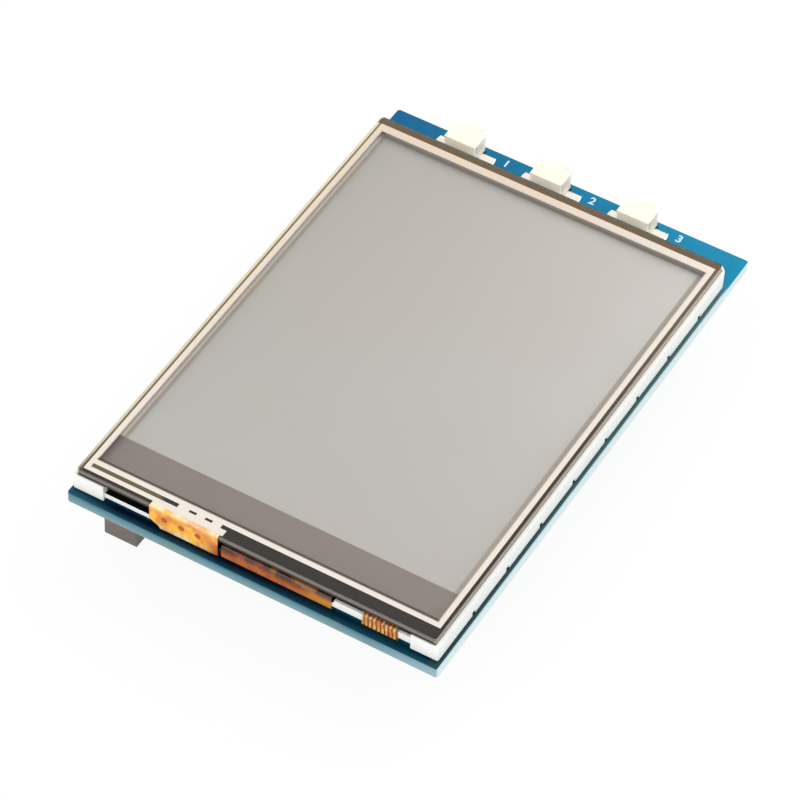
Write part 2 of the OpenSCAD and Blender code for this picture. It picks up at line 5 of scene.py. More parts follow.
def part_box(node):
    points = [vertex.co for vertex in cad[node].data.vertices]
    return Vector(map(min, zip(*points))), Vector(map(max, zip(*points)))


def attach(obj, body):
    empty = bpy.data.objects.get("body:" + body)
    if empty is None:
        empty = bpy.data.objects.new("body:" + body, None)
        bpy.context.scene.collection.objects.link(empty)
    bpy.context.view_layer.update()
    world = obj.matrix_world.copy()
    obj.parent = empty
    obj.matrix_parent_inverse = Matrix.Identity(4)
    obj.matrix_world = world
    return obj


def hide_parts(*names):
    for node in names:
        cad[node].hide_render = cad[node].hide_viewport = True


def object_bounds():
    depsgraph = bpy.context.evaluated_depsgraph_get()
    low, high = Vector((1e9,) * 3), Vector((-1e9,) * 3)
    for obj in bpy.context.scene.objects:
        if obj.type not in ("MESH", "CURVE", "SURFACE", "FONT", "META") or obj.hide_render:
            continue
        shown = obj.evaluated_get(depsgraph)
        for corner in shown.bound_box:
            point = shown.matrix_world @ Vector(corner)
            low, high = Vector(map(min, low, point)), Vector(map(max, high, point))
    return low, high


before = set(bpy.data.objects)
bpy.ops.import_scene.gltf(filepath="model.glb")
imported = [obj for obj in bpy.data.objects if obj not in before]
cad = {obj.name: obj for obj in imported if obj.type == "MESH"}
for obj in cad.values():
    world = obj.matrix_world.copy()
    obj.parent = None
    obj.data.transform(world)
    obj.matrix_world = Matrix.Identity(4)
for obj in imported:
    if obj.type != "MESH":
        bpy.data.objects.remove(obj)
cad_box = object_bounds()

# ---------------------------------------------------------------------------
# Studio. A pale table under the plugged-in height of the socket, soft light
# from all round, large soft lamps behind and in front with a weak one at the
# right, and a long lens looking down over the near right corner of the board.
# ---------------------------------------------------------------------------
board_lo, board_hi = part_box("pcb")


def spot(x, y, z=0.0):
    """A place on the board in millimetres: across, along, and up from its top face."""
    return Vector((board_lo.x + x / 1000, board_lo.y + y / 1000, board_hi.z + z / 1000))


def across_board(x):
    """A place across the board in the object's own millimetres, which the shaders use."""
    return 1000 * spot(x, 0).x


scene = bpy.context.scene
scene.view_settings.view_transform = "Standard"

look_right = Vector((0.8604, 0.5086, 0.0324)).normalized()
look_along = Vector((-0.3214, 0.5909, -0.7400))
look_along = (look_along - look_along.dot(look_right) * look_right).normalized()
look_up = look_right.cross(look_along)
camera_data = bpy.data.cameras.new("camera")
camera_data.sensor_width = 36.0
camera_data.lens = 199.13
camera_data.clip_start = 0.01
camera = bpy.data.objects.new("camera", camera_data)
scene.collection.objects.link(camera)
turn = Matrix((look_right, look_up, -look_along)).transposed().to_4x4()
camera.matrix_world = Matrix.Translation(spot(218.0, -311.2, 436.3)) @ turn
scene.camera = camera


def shader(name):
    """A new material with an empty node tree and its output."""
    made = bpy.data.materials.new(name)
    made.use_nodes = True
    made.node_tree.nodes.clear()
    return made, made.node_tree, made.node_tree.nodes.new("ShaderNodeOutputMaterial")


def put(tree, kind, inputs=(), **props):
    """A node with its properties and inputs set; an input may be another node's socket."""
    made = tree.nodes.new("ShaderNode" + kind)
    for key, value in props.items():
        setattr(made, key, value)
    for key, value in dict(inputs).items():
        if isinstance(value, bpy.types.NodeSocket):
            tree.links.new(value, made.inputs[key])
        else:
            made.inputs[key].default_value = value
    return made


def maths(tree, way, a, b=0.0):
    """The result of one operation on a and b, or on a alone."""
    return put(tree, "Math", {0: a, 1: b}, operation=way).outputs[0]


def tone(r, g, b):
    """A colour given as display values from 0 to 255, as the shader wants it."""
    shares = (r / 255, g / 255, b / 255)
    return tuple(((c + 0.055) / 1.055) ** 2.4 if c > 0.04 else c / 12.92 for c in shares) + (1.0,)


def seen_direct(tree):
    """1 where the camera, a reflection or clear glass looks straight at a surface."""
    rays = put(tree, "LightPath").outputs
    direct = maths(tree, "MAXIMUM", rays["Is Camera Ray"], rays["Is Glossy Ray"])
    return maths(tree, "MAXIMUM", direct, rays["Is Transmission Ray"])


world = bpy.data.worlds.new("soft room")
scene.world = world
world.use_nodes = True
sky = world.node_tree
sky.nodes.clear()
room = put(sky, "Background", {"Color": (1.0, 0.99, 0.985, 1), "Strength": 0.84})
white = put(sky, "Background", {"Color": (1, 1, 1, 1), "Strength": 1.0})
both = put(sky, "MixShader", {0: seen_direct(sky), 1: room.outputs[0], 2: white.outputs[0]})
sky.links.new(both.outputs[0], put(sky, "OutputWorld").inputs[0])


def lamp(name, place, aim, size, power):
    """A round white lamp at a place, turned to its aim; size in metres, power in watts."""
    data = bpy.data.lights.new(name, "AREA")
    data.shape = "DISK"
    data.size = size
    data.energy = power
    made = bpy.data.objects.new(name, data)
    made.location = place
    made.rotation_euler = (Vector(aim) - Vector(place)).to_track_quat("-Z", "Y").to_euler()
    scene.collection.objects.link(made)


middle = spot(28, 42)
lamp("key lamp", middle + Vector((0.30, 0.45, 0.80)), middle, 0.9, 4.2)
lamp("front lamp", middle + Vector((-0.15, -0.75, 0.60)), middle, 0.8, 2.6)
lamp("side lamp", middle + Vector((1.0, -0.1, 0.16)), middle, 0.5, 0.6)

table, tree, out = shader("table")
table_glow = 0.93
glow_share = maths(tree, "MULTIPLY", seen_direct(tree), table_glow)
speck = put(tree, "TexNoise", {"Vector": put(tree, "TexCoord").outputs["Object"], "Scale": 40.0})
pale = put(tree, "ValToRGB", {0: speck.outputs[0]})
pale.color_ramp.elements[0].color = (0.88, 0.88, 0.89, 1)
pale.color_ramp.elements[1].color = (0.92, 0.92, 0.93, 1)
matt = put(tree, "BsdfDiffuse", {"Color": pale.outputs[0]})
glow = put(tree, "Emission", {"Color": (1, 1, 1, 1), "Strength": 1.0})
cover = put(tree, "MixShader", {0: glow_share, 1: matt.outputs[0], 2: glow.outputs[0]})
tree.links.new(cover.outputs[0], out.inputs[0])
floor_mesh = bpy.data.meshes.new("floor")
low = cad_box[0][2] - 0.0002
table_half = 3.0
corners = [(x * table_half, y * table_half, low) for x, y in ((-1, -1), (1, -1), (1, 1), (-1, 1))]
floor_mesh.from_pydata(corners, [], [(0, 1, 2, 3)])
floor = bpy.data.objects.new("floor", floor_mesh)
floor_mesh.materials.append(table)
scene.collection.objects.link(floor)

# ---------------------------------------------------------------------------
# Circuit board. Glass-fibre laminate with blue solder mask on both faces and
# a cut edge all round, where the paler fibre layers show. Tracks, vias, plain
# numbers and outlines lie on it, with painted shade close beside the panel.
# ---------------------------------------------------------------------------


def millimetres(tree):
    """Object coordinates in millimetres, and each of their three values."""
    place = put(tree, "TexCoord").outputs["Object"]
    scaled = put(tree, "VectorMath", {0: place, "Scale": 1000.0}, operation="SCALE").outputs[0]
    return scaled, put(tree, "SeparateXYZ", {0: scaled}).outputs


def climb(tree, value, low, high):
    """0 below low, 1 above high, straight between them; low may be the larger."""
    return put(tree, "MapRange", {0: value, 1: low, 2: high}, clamp=True).outputs[0]


def times(tree, a, b):
    """The product of two values."""
    return maths(tree, "MULTIPLY", a, b)


def between(tree, value, low, high, soft=0.02):
    """1 where value lies from low to high, 0 outside, with a short ramp at both ends."""
    above_low = climb(tree, value, low - soft, low + soft)
    return times(tree, above_low, climb(tree, value, high + soft, high - soft))


def blend_colour(tree, share, a, b, way="MIX"):
    """Colour a turned into colour b by a share from 0 to 1."""
    made = put(tree, "Mix", {0: share}, data_type="RGBA", blend_type=way)
    for index, value in ((6, a), (7, b)):
        if isinstance(value, bpy.types.NodeSocket):
            tree.links.new(value, made.inputs[index])
        else:
            made.inputs[index].default_value = value
    return made.outputs[2]


def colour_along(tree, value, stops):
    """Colour that changes along a value: stops are pairs of a value and a colour, lowest first."""
    first, last = stops[0][0], stops[-1][0]
    ramp = put(tree, "ValToRGB", {0: climb(tree, value, first, last)})
    marks = ramp.color_ramp.elements
    for index, (at, colour) in enumerate(stops):
        share = (at - first) / (last - first)
        mark = marks[index] if index < 2 else marks.new(share)
        mark.position = share
        mark.color = colour
    return ramp.outputs[0]


def grain(tree, place, scale, detail=3.0):
    """Cloudy noise from 0 to 1, with about scale clouds to the millimetre."""
    return put(tree, "TexNoise", {"Vector": place, "Scale": scale, "Detail": detail}).outputs[0]


def relief(tree, height, strength, distance=0.00005):
    """A bumped normal from a height, which stands for a distance in metres."""
    return put(tree, "Bump", {"Height": height, "Strength": strength, "Distance": distance}).outputs[0]


def facing(tree, axis):
    """How much a face points along an axis of the object: 1 straight along it, -1 against it."""
    return put(tree, "SeparateXYZ", {0: put(tree, "NewGeometry").outputs["Normal"]}).outputs[axis]


def facing_up(tree):
    """1 on level faces, 0 on upright ones."""
    return climb(tree, maths(tree, "ABSOLUTE", facing(tree, 2)), 0.45, 0.75)


def facing_right(tree):
    """1 on faces that look to the right, 0 on the others."""
    return climb(tree, facing(tree, 0), 0.4, 0.8)


def surface(tree, out, colour, rough, bump=None, **more):
    """Joins a principled shader to the output: more are its other inputs, _ for each space."""
    made = put(tree, "BsdfPrincipled", {"Base Color": colour, "Roughness": rough})
    for key, value in more.items():
        made.inputs[key.replace("_", " ")].default_value = value
    if bump:
        tree.links.new(bump, made.inputs["Normal"])
    tree.links.new(made.outputs[0], out.inputs[0])


def grained(name, scale, detail, low, high, rough, pores=None, depth=0.1, **more):
    """A material that clouds between two near tones, with finer pores as relief where they are given."""
    made, tree, out = shader(name)
    place = millimetres(tree)[0]
    colour = blend_colour(tree, grain(tree, place, scale, detail), tone(*low), tone(*high))
    bump = relief(tree, grain(tree, place, pores), depth) if pores else None
    surface(tree, out, colour, rough, bump, **more)
    return made


def dress(node, material):
    """Gives a carried-over CAD piece its material."""
    cad[node].data.materials.clear()
    cad[node].data.materials.append(material)


def piece(name, mesh, material, body="module"):
    """A finished piece: its mesh in place, its material and the body it rides on."""
    made = bpy.data.objects.new(name, mesh)
    mesh.materials.clear()
    mesh.materials.append(material)
    scene.collection.objects.link(made)
    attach(made, body)
    return made


def merged(node):
    """A copy of a CAD piece's mesh, and its shape to work on with the doubled corners merged."""
    mesh = cad[node].data.copy()
    shape = bmesh.new()
    shape.from_mesh(mesh)
    bmesh.ops.remove_doubles(shape, verts=shape.verts, dist=0.000002)
    return mesh, shape


def eased(node, width, material, body="module"):
    """A CAD piece's own shape with its sharp edges eased by a small bevel, shown instead of it."""
    mesh, shape = merged(node)
    bmesh.ops.dissolve_limit(shape, angle_limit=math.radians(1), verts=shape.verts, edges=shape.edges)
    shape.to_mesh(mesh)
    shape.free()
    made = piece(node + "_eased", mesh, material, body)
    soft = made.modifiers.new("eased edges", "BEVEL")
    soft.width = width / 1000
    soft.segments = 2
    soft.limit_method = "ANGLE"
    soft.angle_limit = math.radians(40)
    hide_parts(node)


def laid(node, material):
    """A flat CAD piece shown a hair thinner, so that it doesn't share a face with the sheets it touches."""
    hair = 0.000006
    mesh, shape = merged(node)
    heights = [vert.co.z for vert in shape.verts]
    lowest, highest = min(heights), max(heights)
    for vert in shape.verts:
        vert.co.z += hair if vert.co.z - lowest < highest - vert.co.z else -hair
    shape.to_mesh(mesh)
    shape.free()
    made = piece(node + "_laid", mesh, material)
    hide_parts(node)


def strips(name, routes, width, rise, material, closed=False):
    """Flat strips proud of the board's lower face, along routes of places, mitred at their corners."""
    shape = bmesh.new()
    for route in routes:
        count = len(route)
        rings = []
        for i in range(count):
            back = route[i] - route[i - 1] if i > 0 or closed else route[1] - route[0]
            ahead = route[(i + 1) % count] - route[i] if i < count - 1 or closed else back
            back, ahead = back.normalized(), ahead.normalized()
            side = Vector((-(back + ahead).y, (back + ahead).x, 0)).normalized()
            reach = width / 2000 / max(0.3, side.dot(Vector((-ahead.y, ahead.x, 0))))
            down = Vector((0, 0, -rise / 1000))
            corners = (side * reach, side * reach + down, -side * reach + down, -side * reach)
            rings.append([shape.verts.new(route[i] + corner) for corner in corners])
        for i in range(count if closed else count - 1):
            here, there = rings[i], rings[(i + 1) % count]
            for k in range(4):
                shape.faces.new((here[k], here[(k + 1) % 4], there[(k + 1) % 4], there[k]))
        if not closed:
            shape.faces.new(rings[0])
            shape.faces.new(rings[-1])
    bmesh.ops.recalc_face_normals(shape, faces=shape.faces)
    mesh = bpy.data.meshes.new(name)
    shape.to_mesh(mesh)
    shape.free()
    piece(name, mesh, material)


def board_skin(tree, place, xyz):
    """Blue mask: bluer on the left, greener on the right, with the weave of the fibre under it."""
    rightward = climb(tree, xyz[0], board_lo.x * 1000, board_hi.x * 1000)
    across = blend_colour(tree, rightward, tone(16, 102, 148), tone(28, 146, 184))
    cloud = blend_colour(tree, grain(tree, place, 0.3, 3.0), tone(206, 210, 214), tone(255, 255, 255))
    weave = put(tree, "TexBrick", {"Vector": place, "Color1": (1, 1, 1, 1), "Color2": (0.9, 0.9, 0.9, 1),
                                   "Mortar": (0.74, 0.74, 0.74, 1), "Scale": 1.0, "Mortar Size": 0.06,
                                   "Mortar Smooth": 0.8, "Brick Width": 0.9, "Row Height": 0.45}, offset=0.5)
    inked = blend_colour(tree, 0.9, across, cloud, "MULTIPLY")
    return blend_colour(tree, 0.22, inked, weave.outputs[0], "MULTIPLY"), weave.outputs[0]


panel_lo, panel_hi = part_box("backlight_frame")
panel_front, panel_far, panel_right = panel_lo.y * 1000, panel_hi.y * 1000, panel_hi.x * 1000
near_edge, right_edge = board_lo.y * 1000, board_hi.x * 1000
board_low, board_top = board_lo.z * 1000, board_hi.z * 1000
mask, tree, out = shader("blue solder mask")
place, xyz = millimetres(tree)
inked, weave = board_skin(tree, place, xyz)
# Painted shade: the top is darkened along the near strip where the panel shades it, less so at the left end
# and greener to the right.
painted_shade_strip = colour_along(tree, xyz[1], [(near_edge, tone(8, 78, 102)), (near_edge + 0.45, tone(3, 48, 68)),
                                    (panel_front - 0.1, tone(1, 18, 36))])
greener = climb(tree, xyz[0], across_board(30), across_board(50))
painted_shade_strip = blend_colour(tree, times(tree, greener, 0.5), painted_shade_strip, tone(0, 66, 86))
lighter = climb(tree, xyz[0], across_board(7), across_board(0))
painted_shade_strip = blend_colour(tree, times(tree, lighter, 0.6), painted_shade_strip, tone(34, 94, 114))
shade_by_panel = times(tree, climb(tree, xyz[1], panel_front + 1.2, panel_front + 0.4),
                 climb(tree, facing(tree, 2), 0.4, 0.7))
top = blend_colour(tree, shade_by_panel, inked, painted_shade_strip)
# Painted shade darkens the top beside the frame's right side; it is paler along the board's very edge.
beside = times(tree, climb(tree, xyz[0], panel_right - 1.2, panel_right - 1.1),
               climb(tree, xyz[1], panel_far - 0.5, panel_far - 3.0))
shaded = colour_along(tree, xyz[1], [(near_edge, tone(36, 62, 70)), (panel_far, tone(78, 106, 108))])
at_edge = climb(tree, xyz[0], right_edge - 0.22, right_edge - 0.12)
shaded = blend_colour(tree, at_edge, shaded, tone(176, 206, 210))
top = blend_colour(tree, beside, top, shaded)
key_boxes = [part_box(f"key_{n}_base") for n in (1, 2, 3)]
for key_lo, key_hi in key_boxes:
    # Painted shade: a dark contact shadow on the board along each key's right side.
    key_contact_shade = times(tree, between(tree, xyz[0], key_hi.x * 1000 - 0.2, key_hi.x * 1000 + 0.3, 0.1),
                      between(tree, xyz[1], key_lo.y * 1000, key_hi.y * 1000, 0.1))
    top = blend_colour(tree, key_contact_shade, top, tone(48, 40, 38))
layers = put(tree, "TexWave", {"Vector": place, "Scale": 1.6, "Distortion": 2.0, "Detail": 2.0},
             bands_direction="Z").outputs[1]
cut = colour_along(tree, xyz[2], [(board_low, tone(128, 154, 160)), (board_low + 0.7, tone(98, 142, 154)),
                                  (board_top - 0.45, tone(76, 126, 142)), (board_top, tone(32, 92, 114))])
cut = blend_colour(tree, times(tree, layers, 0.25), cut, tone(150, 176, 178))
patches = climb(tree, grain(tree, place, 0.25, 3.0), 0.45, 0.65)
cut = blend_colour(tree, times(tree, patches, 0.5), cut, tone(112, 138, 134))
by_corner = climb(tree, xyz[0], across_board(46), right_edge)
cut = blend_colour(tree, times(tree, by_corner, 0.45), cut, tone(176, 206, 220))
# Painted light: the cut face that looks right is painted near white, as if lit from the right.
lit_right_cut = blend_colour(tree, layers, tone(202, 217, 221), tone(212, 224, 228))
cut = blend_colour(tree, facing_right(tree), cut, lit_right_cut)
level = facing_up(tree)
skin = blend_colour(tree, level, cut, top)
rough = put(tree, "MapRange", {0: level, 3: 0.62, 4: 0.34}).outputs[0]
surface(tree, out, skin, rough, relief(tree, weave, 0.1, 0.00002), Specular_IOR_Level=0.1)
dress("pcb", mask)

silk = grained("pale blue ink", 6.0, 4.0, (180, 220, 244), (214, 238, 250), 0.6)
ink_height = 0.000012
figure_right, figure_row = 0.0062, 0.0836
for number, (key_lo, key_hi) in enumerate(key_boxes, 1):
    letter = bpy.data.curves.new("figure", "FONT")
    letter.body = str(number)
    letter.size = 0.0019
    letter.extrude = ink_height
    letter.offset = 0.00003
    letter.align_x = "CENTER"
    letter.align_y = "CENTER"
    sample = bpy.data.objects.new("figure", letter)
    mesh = bpy.data.meshes.new_from_object(sample)
    bpy.data.objects.remove(sample)
    across, along = (key_lo.x + key_hi.x) / 2 + figure_right, board_lo.y + figure_row
    mesh.transform(Matrix.Translation(Vector((across, along, board_hi.z + ink_height))))
    piece(f"figure_{number}", mesh, silk)

copper_mask, tree, out = shader("mask over copper")
place, xyz = millimetres(tree)
inked, weave = board_skin(tree, place, xyz)
over = blend_colour(tree, 0.35, inked, tone(92, 178, 200))
surface(tree, out, over, 0.3, relief(tree, grain(tree, place, 5.0), 0.1, 0.00002))

socket_lo, socket_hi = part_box("socket_riser")
feet_lo, feet_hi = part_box("socket_contacts")
chip_lo, chip_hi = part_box("touch_controller")
pin_count, plain_pins = 13, 5
pin_step = (socket_hi.y - socket_lo.y) / pin_count
pin_rows = [socket_lo.y + (i + 0.5) * pin_step for i in range(pin_count)]
below = board_lo.z
column_step, row_step, inner_step = 0.0010, 0.0005, 0.0009
tracks = []
via_places = []
for i, y in enumerate(pin_rows):
    start = Vector((feet_hi.x + 0.0003, y, below))
    if i >= plain_pins:
        rank = pin_count - 1 - i
        column = socket_hi.x + 0.0032 + column_step * rank
        top_y = chip_lo.y - 0.0030 - row_step * rank
        inner = chip_lo.x - 0.0060 + inner_step * rank
        slant = inner - column
        route = [start, Vector((column - 0.001, y, below)), Vector((column, y + 0.001, below)),
                 Vector((column, top_y - slant, below)), Vector((inner, top_y, below))]
    else:
        bend = socket_hi.x + 0.0120 + 0.0018 * i
        route = [start, Vector((bend, y, below)), Vector((bend + 0.0012, y - 0.0012, below)),
                 Vector((bend + 0.0090, y - 0.0012, below))]
    tracks.append(route)
    via_places.append(route[-1])
for n, (key_lo, key_hi) in enumerate(key_boxes):
    start = Vector((key_hi.x + 0.0012, key_lo.y + 0.0004, below))
    end = Vector((chip_hi.x + 0.0040 + 0.0010 * n, chip_hi.y + 0.0016, below))
    row = key_lo.y - 0.0060 + 0.0012 * n
    sideways = math.copysign(0.0012, end.x - start.x)
    tracks.append([start, Vector((start.x, row + 0.0012, below)), Vector((start.x + sideways, row, below)),
                   Vector((end.x - sideways, row, below)), Vector((end.x, row - 0.0012, below)), end])
    via_places.extend((start, end))
strips("tracks_below", tracks, 0.3, 0.035, copper_mask)


def grown(name, places, tree, sizes, material):
    """Runs a Geometry Nodes tree on a set of places and keeps the result as a plain piece."""
    points = bpy.data.meshes.new(name)
    points.from_pydata(places, [], [])
    sample = bpy.data.objects.new(name, points)
    scene.collection.objects.link(sample)
    growth = sample.modifiers.new("growth", "NODES")
    growth.node_group = tree
    for socket in tree.interface.items_tree:
        if socket.in_out == "INPUT" and socket.name in sizes:
            growth[socket.identifier] = sizes[socket.name] / 1000
        if socket.in_out == "INPUT" and socket.name == "Finish":
            growth[socket.identifier] = material
    made = bpy.data.meshes.new_from_object(sample.evaluated_get(bpy.context.evaluated_depsgraph_get()))
    bpy.data.objects.remove(sample)
    return piece(name, made, material)


def growth_tree(name, sizes):
    """An empty Geometry Nodes tree with its named inputs, and a short way to add its nodes."""
    tree = bpy.data.node_groups.new(name, "GeometryNodeTree")
    tree.interface.new_socket("Places", in_out="INPUT", socket_type="NodeSocketGeometry")
    for size in sizes:
        tree.interface.new_socket(size, in_out="INPUT", socket_type="NodeSocketFloat")
    tree.interface.new_socket("Finish", in_out="INPUT", socket_type="NodeSocketMaterial")
    tree.interface.new_socket("Geometry", in_out="OUTPUT", socket_type="NodeSocketGeometry")

    def add(kind, inputs=(), **props):
        made = tree.nodes.new(kind)
        for key, value in props.items():
            setattr(made, key, value)
        for key, value in dict(inputs).items():
            if isinstance(value, bpy.types.NodeSocket):
                tree.links.new(value, made.inputs[key])
            else:
                made.inputs[key].default_value = value
        return made

    return tree, add, add("NodeGroupInput").outputs


def set_out(add, given, part):
    """Closes a growth tree: a copy of the part on each place, made real, with its finish."""
    placed = add("GeometryNodeInstanceOnPoints", {"Points": given["Places"], "Instance": part})
    real = add("GeometryNodeRealizeInstances", {"Geometry": placed.outputs[0]})
    finished = add("GeometryNodeSetMaterial", {"Geometry": real.outputs[0], "Material": given["Finish"]})
    add("NodeGroupOutput", {"Geometry": finished.outputs[0]})


ring_tree, add, given = growth_tree("plated ring", ("Radius", "Thickness"))
loop = add("GeometryNodeCurvePrimitiveCircle", {"Resolution": 14, "Radius": given["Radius"]})
tube = add("GeometryNodeCurvePrimitiveCircle", {"Resolution": 6, "Radius": given["Thickness"]})
ring = add("GeometryNodeCurveToMesh", {"Curve": loop.outputs[0], "Profile Curve": tube.outputs[0]})
set_out(add, given, ring.outputs[0])

tin, tree, out = shader("tin and solder")
place = millimetres(tree)[0]
mottle = grain(tree, place, 3.0, 4.0)
bright = blend_colour(tree, mottle, tone(214, 212, 208), tone(240, 239, 236))
surface(tree, out, bright, 0.3, relief(tree, mottle, 0.2), Metallic=0.75)
grown("vias_below", via_places, ring_tree, {"Radius": 0.24, "Thickness": 0.06}, tin)

outlines = []
for lo, hi, margin in ((socket_lo, socket_hi, 0.0010), (chip_lo, chip_hi, 0.0013),
                       (*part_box("transistor"), 0.0010), (*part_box("resistors"), 0.0007),
                       (*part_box("capacitors"), 0.0007)):
    x_lo, x_hi = max(lo.x - margin, board_lo.x + 0.0002), hi.x + margin
    y_lo, y_hi = lo.y - margin, hi.y + margin
    corners = ((x_lo, y_lo), (x_hi, y_lo), (x_hi, y_hi), (x_lo, y_hi))
    outlines.append([Vector(corner + (below,)) for corner in corners])
strips("outlines_below", outlines, 0.15, 0.045, silk, closed=True)

# ---------------------------------------------------------------------------
# Foam tape. Three strips of white double-sided foam hold the panel's frame on
# the board.
# ---------------------------------------------------------------------------
foam, tree, out = shader("white foam")
place = millimetres(tree)[0]
cells = put(tree, "TexVoronoi", {"Vector": place, "Scale": 6.0}).outputs[0]
spongy = blend_colour(tree, cells, tone(214, 214, 208), tone(240, 240, 236))
surface(tree, out, spongy, 0.9, relief(tree, cells, 0.4))
dress("panel_tape", foam)

# ---------------------------------------------------------------------------
# Backlight frame. One white moulding with a shelf for the display glass, full
# height blocks at the near corners and a low bar between them. Painted shade
# darkens the bar in the gap between the two circuits that fold over it.
# ---------------------------------------------------------------------------
moulding, tree, out = shader("white moulding")
place, xyz = millimetres(tree)
flow = grain(tree, place, 0.35, 4.0)
fine = grain(tree, place, 14.0, 4.0)
milk = blend_colour(tree, flow, tone(236, 236, 232), tone(243, 243, 240))
# Painted shade: the moulding's right-facing sides are painted a little greyer.
milk = blend_colour(tree, facing_right(tree), milk, tone(226, 230, 227))
tail_lo, tail_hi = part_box("touch_tail")
lead_lo, lead_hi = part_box("display_flex")
# Painted shade darkens the bar between the two circuits.
shade_in_gap = times(tree, between(tree, xyz[0], tail_hi.x * 1000 - 0.4, lead_lo.x * 1000 + 0.4),
               climb(tree, xyz[1], panel_front + 4.0, panel_front + 3.5))
milk = blend_colour(tree, shade_in_gap, milk, tone(52, 34, 22))
surface(tree, out, milk, 0.42, relief(tree, fine, 0.08, 0.00002), Subsurface_Weight=0.08,
        Subsurface_Scale=0.0004)
eased("backlight_frame", 0.06, moulding)

# ---------------------------------------------------------------------------
# Light path inside the frame. Silvery reflector, clear guide plate, one
# diffuser and two prism films lie loose in the frame's pocket.
# ---------------------------------------------------------------------------
mirror_film = grained("silvery film", 0.5, 3.0, (222, 225, 226), (238, 240, 241), 0.2, Metallic=0.6)
dress("reflector_film", mirror_film)

guide, tree, out = shader("clear guide plate")
place = millimetres(tree)[0]
dots = put(tree, "TexVoronoi", {"Vector": place, "Scale": 2.2}).outputs[0]
surface(tree, out, blend_colour(tree, dots, tone(236, 240, 240), tone(214, 226, 228)), 0.15)
dress("light_guide", guide)

ribbed, tree, out = shader("ribbed film")
place = millimetres(tree)[0]
ribs = put(tree, "TexWave", {"Vector": place, "Scale": 6.0}, bands_direction="X").outputs[1]
pearly = blend_colour(tree, ribs, tone(212, 216, 220), tone(234, 237, 240))
surface(tree, out, pearly, 0.35, relief(tree, ribs, 0.3))
for film in ("diffuser_film", "prism_film_lower", "prism_film_upper"):
    dress(film, ribbed)

dress("led_chips", grained("LED body", 1.5, 3.0, (238, 226, 150), (250, 248, 236), 0.4))

# ---------------------------------------------------------------------------
# Black tapes and gasket. Thin matt film with adhesive: under the display
# glass, over the driver chip, and between frame and touch glass.
# ---------------------------------------------------------------------------
glass_lo, glass_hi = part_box("touch_glass")
west, east = glass_lo.x * 1000, glass_hi.x * 1000
south, north = glass_lo.y * 1000, glass_hi.y * 1000

black_tape = grained("matt black tape", 0.5, 4.0, (62, 57, 50), (80, 73, 64), 0.7, Specular_IOR_Level=0.2)
laid("touch_gasket", black_tape)
dress("rim_tape", grained("deep black tape", 3.0, 4.0, (5, 6, 5), (12, 14, 10), 0.8, Specular_IOR_Level=0.1))

chip_cover, tree, out = shader("chip cover tape")
place, xyz = millimetres(tree)
band = blend_colour(tree, grain(tree, place, 0.4, 4.0), tone(62, 58, 54), tone(78, 72, 66))
lead_at = across_board(13.5), across_board(12.5)
band = blend_colour(tree, climb(tree, xyz[0], *lead_at), band, tone(106, 98, 82))
surface(tree, out, band, 0.7, Specular_IOR_Level=0.2)
dress("chip_tape", chip_cover)

# ---------------------------------------------------------------------------
# Display glass. Two thin sheets with a polariser on each outer face. The
# picture area is pale grey when off, inside a border that is darkest and
# widest at the near end.
# ---------------------------------------------------------------------------
pane = grained("display glass", 0.2, 3.0, (92, 98, 94), (108, 114, 110), 0.1, Coat_Weight=0.3)
for sheet in ("array_glass", "colour_filter_glass", "rear_polariser"):
    dress(sheet, pane)

picture_from = spot(2.95, 10.0) * 1000
picture_to = spot(52.48, 76.35) * 1000
polariser, tree, out = shader("polariser over the picture area")
place, xyz = millimetres(tree)
inside = times(tree, between(tree, xyz[0], picture_from.x, picture_to.x),
               between(tree, xyz[1], picture_from.y, picture_to.y))
along = climb(tree, xyz[1], picture_from.y, picture_to.y)
across = climb(tree, xyz[0], picture_from.x, picture_to.x)
# Painted reflection: the picture area is lighter towards the far right and a little darker towards the far
# left.
left = blend_colour(tree, along, tone(191, 191, 187), tone(178, 178, 172))
right = blend_colour(tree, along, tone(192, 191, 188), tone(216, 214, 210))
picture = blend_colour(tree, across, left, right)
cloud = grain(tree, place, 0.03, 1.0)
picture = blend_colour(tree, climb(tree, cloud, 0.4, 0.65), picture,
                       blend_colour(tree, 0.3, picture, tone(196, 189, 183)))
stripes = put(tree, "TexWave", {"Vector": place, "Scale": 3.0}, bands_direction="X").outputs[1]
picture = blend_colour(tree, 0.02, picture, stripes, "MULTIPLY")
near_rim = blend_colour(tree, cloud, tone(127, 117, 109), tone(139, 129, 121))
# Painted light: the outer part of the left and far border is painted near white, against the shade that the
# silver line and gasket cast there.
painted_edge_light = maths(tree, "MAXIMUM", climb(tree, xyz[0], picture_from.x - 0.45, picture_from.x - 0.7),
                  climb(tree, xyz[1], picture_to.y + 0.4, picture_to.y + 0.7))
side_rim = blend_colour(tree, painted_edge_light, tone(178, 168, 157), tone(255, 246, 234))
rim = blend_colour(tree, climb(tree, xyz[1], picture_from.y - 0.1, picture_from.y + 0.1), near_rim, side_rim)
surface(tree, out, blend_colour(tree, inside, rim, picture), 0.4)
dress("front_polariser", polariser)

dress("driver_chip", grained("bare silicon", 2.0, 3.0, (56, 58, 64), (78, 80, 88), 0.2, Metallic=0.4))

# ---------------------------------------------------------------------------
# Touch panel. Glass sheet with ground edges, a printed silver line round its
# rim, brown adhesive beside the line and a hard-coated film on top.
# ---------------------------------------------------------------------------


